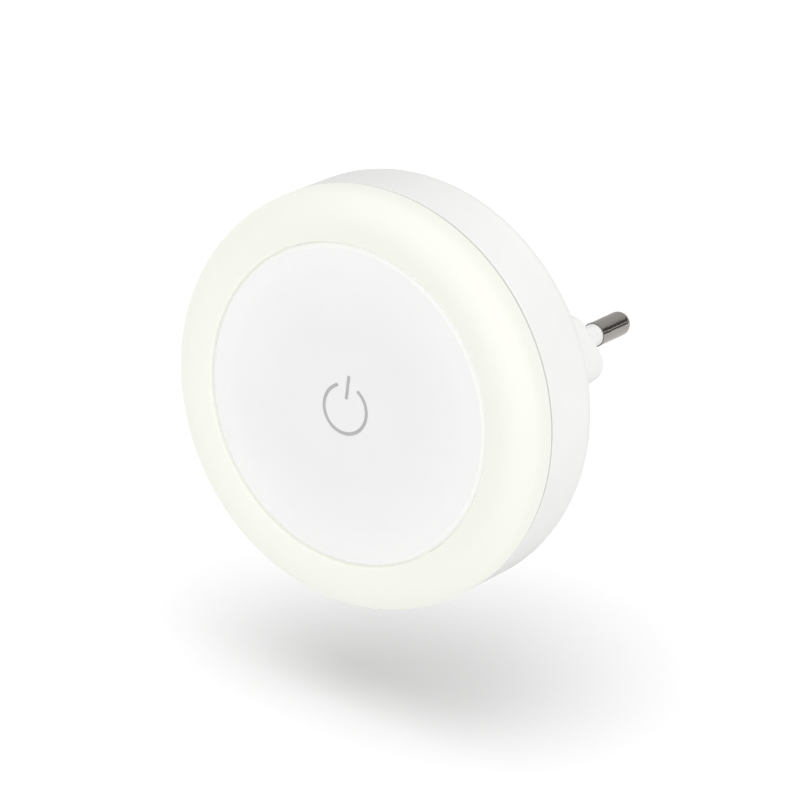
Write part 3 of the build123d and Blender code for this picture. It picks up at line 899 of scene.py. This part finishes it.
# Finishes by their slots
finishes = {
    "housing_white": plastic("housing plastic", (0.9, 0.9, 0.885)),
    "opal_diffuser": glow_and_painted_light_by_radius(opal, [
        (ring_inner_r, lip_glow),
        (ring_inner_r + lip_edge_r, ring_glow),
        (drum_r - ring_side_band, ring_glow),
        (drum_r, ring_side_glow),
    ]),
    # The frame takes painted light where it shows in the groove by the plate, which fills the shade there and
    # stands in for the ring's light
    "frame_white": glow_and_painted_light_by_radius(plastic("frame plastic", (0.92, 0.92, 0.91)), [
        (plate_r - frame_painted_light_band, 0),
        (plate_r, frame_painted_light),
        (ring_inner_r, frame_painted_light),
    ]),
    # The plate takes painted light that grows towards its rim and up its edge wall, standing in for the
    # ring's light falling on it
    "plate_white": glow_and_painted_light_by_radius(plate_plastic, [
        (plate_painted_light_from_r, 0),
        (plate_faint_painted_light_r, plate_faint_painted_light),
        (plate_painted_light_r, plate_painted_light),
        (plate_r - plate_edge_r, plate_painted_light),
        (plate_r - plate_edge_painted_light_band, plate_edge_painted_light),
        (plate_r, plate_wall_painted_light),
    ]),
    "symbol_grey": plastic("sign ink", (0.51, 0.51, 0.51), cloud_share=0.95, roughness=0.5),
    "board_white": plastic("board lacquer", (0.85, 0.87, 0.84)),
    "plunger_white": plastic("plunger plastic", (0.85, 0.85, 0.85)),
    "pin_nickel": metal("nickel plate", (0.47, 0.44, 0.41), roughness=0.03, dents=20),
    "sleeve_white": plastic("sleeve plastic", (0.88, 0.88, 0.87)),
    "strip_brass": metal("strip brass", (0.72, 0.53, 0.24)),
    "capacitor_yellow": plastic("film capacitor box", (0.78, 0.52, 0.06)),
    "screw_steel": metal("screw steel", (0.55, 0.55, 0.56)),
    "led_phosphor": plastic("led package", (0.9, 0.9, 0.88)),
    "spring_steel": metal("spring steel", (0.6, 0.6, 0.6)),
}


def place_of(tree, axis, middle=0):
    """How far a point lies from a middle in millimetres along one axis of the frame."""
    parts = add(tree, "ShaderNodeSeparateXYZ")
    tree.links.new(add(tree, "ShaderNodeTexCoord").outputs["Object"], parts.inputs["Vector"])
    offset = add(tree, "ShaderNodeMath", operation="MULTIPLY_ADD")
    offset.inputs[1].default_value = 1 / MM
    offset.inputs[2].default_value = -middle
    tree.links.new(parts.outputs[axis], offset.inputs[0])
    return offset.outputs["Value"]


def compare(tree, operation, value, limit):
    """A mask that is one where a value passes a limit."""
    made = add(tree, "ShaderNodeMath", operation=operation)
    made.inputs[1].default_value = limit
    tree.links.new(value, made.inputs[0])
    return made.outputs["Value"]


def from_middle(tree, operation, axis, limit, middle=0):
    """A mask by how far a point lies from a middle along one axis, to either side."""
    far = add(tree, "ShaderNodeMath", operation="ABSOLUTE")
    tree.links.new(place_of(tree, axis, middle), far.inputs[0])
    return compare(tree, operation, far.outputs["Value"], limit)


def facing_wall(tree):
    """How straight a face looks at the wall: 1 at it, -1 away from it."""
    parts = add(tree, "ShaderNodeSeparateXYZ")
    tree.links.new(add(tree, "ShaderNodeTexCoord").outputs["Normal"], parts.inputs["Vector"])
    return parts.outputs["Y"]


def marked(material, mask, colour, metallic=False):
    """Where the mask is one a piece takes a second colour, and becomes metal if asked."""
    tree = material.node_tree
    base = tree.nodes["Principled BSDF"].inputs["Base Color"]
    blend = add(tree, "ShaderNodeMix", data_type="RGBA")
    tree.links.new(mask, blend.inputs["Factor"])
    tree.links.new(base.links[0].from_socket, blend.inputs["A"])
    blend.inputs["B"].default_value = (*colour, 1)
    tree.links.new(blend.outputs["Result"], base)
    if metallic:
        tree.links.new(mask, tree.nodes["Principled BSDF"].inputs["Metallic"])
    return material


def with_leads(name, colour, axis, limit, middle=0):
    """A dark or coloured body whose ends and leads beyond a limit are tinned metal."""
    material = plastic(name, colour)
    leads = from_middle(material.node_tree, "GREATER_THAN", axis, limit, middle)
    return marked(material, leads, tin, metallic=True)


def middle_of(node):
    """The middle of a node's box and half its sizes, in millimetres."""
    low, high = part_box(node)
    centre = (low + high) / 2 / MM
    half = (high - low) / 2 / MM
    return centre, half


def fill_led_wells():
    """The white LED packages get yellow phosphor on the floor of their wells."""
    material = finishes["led_phosphor"]
    tree = material.node_tree
    top = reach("led_1")[2]
    floor = add(tree, "ShaderNodeMath", operation="MULTIPLY")
    sunk = compare(tree, "GREATER_THAN", place_of(tree, "Y", -top), led_well / 2)
    tree.links.new(sunk, floor.inputs[0])
    tree.links.new(compare(tree, "LESS_THAN", facing_wall(tree), -half_turned), floor.inputs[1])
    marked(material, floor.outputs["Value"], phosphor)


def show_board_edge():
    """The lacquered board gets tan glass fibre on its cut edges."""
    material = finishes["board_white"]
    tree = material.node_tree
    facing = facing_wall(tree)
    squared = add(tree, "ShaderNodeMath", operation="MULTIPLY")
    tree.links.new(facing, squared.inputs[0])
    tree.links.new(facing, squared.inputs[1])
    marked(material, compare(tree, "LESS_THAN", squared.outputs["Value"], half_turned), glass_fibre)


def smoothing_can():
    """Black sleeve with a pale stripe along one side, bare metal at both ends."""
    centre, half = middle_of("electrolytic_capacitor")
    material = with_leads("smoothing capacitor", (0.03, 0.03, 0.035), "X", half.x - lead_part)
    tree = material.node_tree
    stripe = compare(tree, "GREATER_THAN", place_of(tree, "Z", centre.z), stripe_from * half.z)
    return marked(material, stripe, stripe_grey)


def banded_resistor():
    """Blue lacquered body with colour bands and bare leads."""
    centre, half = middle_of("fusible_resistor")
    material = with_leads("fusible resistor", (0.1, 0.22, 0.4), "Z", half.z - lead_part, centre.z)
    for offset, colour in resistor_bands:
        band = from_middle(material.node_tree, "LESS_THAN", "Z", band_half, centre.z + offset)
        marked(material, band, colour)
    return material


def diode():
    """Black body with a pale bar at one end."""
    centre, half = middle_of("surge_diode")
    material = plastic("surge diode", (0.025, 0.025, 0.025))
    bar_x = centre.x + diode_mark_at * half.x
    bar = from_middle(material.node_tree, "LESS_THAN", "X", band_half, bar_x)
    return marked(material, bar, diode_mark)


fill_led_wells()
show_board_edge()
chip_half = middle_of("controller_ic")[1].z - chip_lead
bridge_half = middle_of("bridge_rectifier")[1].z - chip_lead
switch_half = middle_of("switch_body")[1].x - chip_lead
bleed_centre, bleed_half = middle_of("bleed_resistors")
bleed_body = bleed_body_share * bleed_half.z

# Finishes of pieces that have markings or leads of their own, in place of their slot's
own_finishes = {
    "electrolytic_capacitor": smoothing_can(),
    "fusible_resistor": banded_resistor(),
    "bridge_rectifier": with_leads("rectifier resin", (0.03, 0.03, 0.03), "Z", bridge_half),
    "controller_ic": with_leads("chip resin", (0.022, 0.022, 0.022), "Z", chip_half),
    "bleed_resistors": with_leads("chip resistor", (0.03, 0.03, 0.035), "Z", bleed_body, bleed_centre.z),
    "surge_diode": diode(),
    "switch_body": with_leads("switch plastic", (0.03, 0.03, 0.03), "X", switch_half),
}


def dress(piece, slot):
    """Gives a modelled piece the finish of its slot."""
    piece.data.materials.clear()
    piece.data.materials.append(finishes[slot])


def stand_in(piece, body, slot, *nodes):
    """A modelled piece rides on its body in place of the nodes that it stands for."""
    dress(piece, slot)
    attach(piece, body)
    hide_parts(*nodes)


stand_in(rear, "housing", "housing_white", "rear_housing")
stand_in(ring, "housing", "opal_diffuser", "diffuser_ring")
stand_in(cap, "press_plate", "plate_white", "press_plate")
stand_in(sign, "press_plate", "symbol_grey", "power_symbol")
for side in sides:
    stand_in(pins[side], "housing", "pin_nickel", f"plug_pin_{side}")
    stand_in(sleeves[side], "housing", "sleeve_white", f"pin_sleeve_{side}")

# The return springs stand on the frame's floor, each with a mesh of its own
for number, spring in enumerate(springs, 1):
    stand_in(spring, "housing", "spring_steel", f"return_spring_{number}")
    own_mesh(spring)

# Every node that keeps its solid is dressed in its own finish or its slot's
for part in frame["record"]["subparts"]:
    solid = frame["nodes"][part["node"]]
    if solid.material_slots:
        own = own_finishes.get(part["node"])
        solid.material_slots[0].material = own or finishes[part["material_slot"]]

# Floor under the lamp, its size in metres, with the lamp's soft shadow on it. The camera sees paler paper
# than the lamp does, so that the open floor is white and the lamp isn't lit too much from below.
floor_drop = 48
floor_size = 6
floor_tone = 0.85
floor_bounce = 0.66


def studio_floor():
    """Pale floor that the camera sees white where no shadow falls."""
    bpy.ops.object.select_all(action="DESELECT")
    bpy.ops.mesh.primitive_plane_add(size=floor_size, location=(0, 0, -floor_drop * MM))
    floor = settle(named("studio_floor"))
    material = bpy.data.materials.new("floor paper")
    material.use_nodes = True
    tree = material.node_tree
    shader = tree.nodes["Principled BSDF"]
    shader.inputs["Roughness"].default_value = 1
    shader.inputs["Specular IOR Level"].default_value = 0
    path = add(tree, "ShaderNodeLightPath")
    tone = add(tree, "ShaderNodeMix", data_type="RGBA")
    tone.inputs["A"].default_value = (floor_bounce, floor_bounce, floor_bounce, 1)
    tone.inputs["B"].default_value = (floor_tone, floor_tone, floor_tone, 1)
    tree.links.new(path.outputs["Is Camera Ray"], tone.inputs["Factor"])
    tree.links.new(tone.outputs["Result"], shader.inputs["Base Color"])
    floor.data.materials.append(material)
    return floor


floor_alone = bpy.data.collections.new("floor_alone")
floor_alone.objects.link(studio_floor())

# Soft lights, each with the direction it comes from, what a white card facing it sends back, and its spread
# in degrees. The floor light falls on the floor alone and deepens the lamp's shadow there.
lamps = (
    ("overhead_light", (0, 0, 1), 0.28, 80),
    ("floor_light", (-0.25, -0.14, 1), 0.34, 60),
    ("side_light", (1, -0.17, 0.25), 0.38, 80),
    ("front_light", (0, -1, 0.25), 0.25, 100),
)
sky_light = 0.502

# What metal mirrors on the room's right side, as heights with their levels: two dark bands with a pale strip
# between them. Everywhere else is plain wall, which gives way to that from the middle to mirrored_side.
mirrored_room = (
    (0, 0.6), (0.06, 0.08), (0.15, 0.1), (0.19, 0.9), (0.22, 0.9),
    (0.26, 0.08), (0.42, 0.08), (0.5, 0.5), (0.9, 0.6),
)
mirrored_side = 0.2
plain_wall = 0.6

for name, place, level, spread_deg in lamps:
    lamp_data = bpy.data.lights.new(name, "SUN")
    lamp_data.energy = level * math.pi
    lamp_data.angle = math.radians(spread_deg)
    lamp = bpy.data.objects.new(name, lamp_data)
    lamp.rotation_euler = Vector(place).to_track_quat("Z", "Y").to_euler()
    bpy.context.scene.collection.objects.link(lamp)
    if name == "floor_light":
        lamp.light_linking.receiver_collection = floor_alone


def studio():
    """The room round the lamp: white to the camera, a soft light on the lamp, and what metal mirrors."""
    world = bpy.data.worlds.new("studio")
    bpy.context.scene.world = world
    world.use_nodes = True
    sky = world.node_tree
    link = sky.links.new
    direction = add(sky, "ShaderNodeSeparateXYZ")
    link(add(sky, "ShaderNodeTexCoord").outputs["Generated"], direction.inputs["Vector"])
    mirrored = add(sky, "ShaderNodeValToRGB")
    link(direction.outputs["Z"], mirrored.inputs["Fac"])
    colours(mirrored, [(place, (level, level, level)) for place, level in mirrored_room])
    right_side = add(sky, "ShaderNodeMapRange")
    right_side.inputs["From Max"].default_value = mirrored_side
    link(direction.outputs["X"], right_side.inputs["Value"])
    room = add(sky, "ShaderNodeMix", data_type="RGBA")
    link(right_side.outputs["Result"], room.inputs["Factor"])
    room.inputs["A"].default_value = (plain_wall, plain_wall, plain_wall, 1)
    link(mirrored.outputs["Color"], room.inputs["B"])
    path = add(sky, "ShaderNodeLightPath")
    metal_sees = add(sky, "ShaderNodeMix", data_type="RGBA")
    link(path.outputs["Is Glossy Ray"], metal_sees.inputs["Factor"])
    metal_sees.inputs["A"].default_value = (sky_light, sky_light, sky_light, 1)
    link(room.outputs["Result"], metal_sees.inputs["B"])
    white = add(sky, "ShaderNodeMath", operation="MAXIMUM")
    link(path.outputs["Is Camera Ray"], white.inputs[0])
    link(path.outputs["Is Transmission Ray"], white.inputs[1])
    seen = add(sky, "ShaderNodeMix", data_type="RGBA")
    link(white.outputs["Value"], seen.inputs["Factor"])
    link(metal_sees.outputs["Result"], seen.inputs["A"])
    seen.inputs["B"].default_value = (1, 1, 1, 1)
    link(seen.outputs["Result"], sky.nodes["Background"].inputs["Color"])


studio()

# Camera: where it stands seen from the lamp, how it is turned, and how far it is shifted off the axis
view_azimuth = math.radians(32.457)
view_elevation = math.radians(22.418)
view_roll = math.radians(6.751)
view_distance = 653
view_shift = (-17.796, -10.698)
view_aim = (0, 0.85, 0)
view_lens = 187.476

towards = Vector((
    math.sin(view_azimuth) * math.cos(view_elevation),
    -math.cos(view_azimuth) * math.cos(view_elevation),
    math.sin(view_elevation),
))
level_right = Vector((math.cos(view_azimuth), math.sin(view_azimuth), 0))
level_up = towards.cross(level_right)
right = math.cos(view_roll) * level_right + math.sin(view_roll) * level_up
up = math.cos(view_roll) * level_up - math.sin(view_roll) * level_right
stand = Vector(view_aim) + view_shift[0] * right + view_shift[1] * up + view_distance * towards
camera_data = bpy.data.cameras.new("camera")
camera_data.lens = view_lens
camera = bpy.data.objects.new("camera", camera_data)
turn = Matrix((right, up, towards)).transposed().to_4x4()
camera.matrix_world = Matrix.Translation(stand * MM) @ turn
bpy.context.scene.collection.objects.link(camera)
bpy.context.scene.camera = camera
bpy.context.scene.view_settings.view_transform = "Standard"
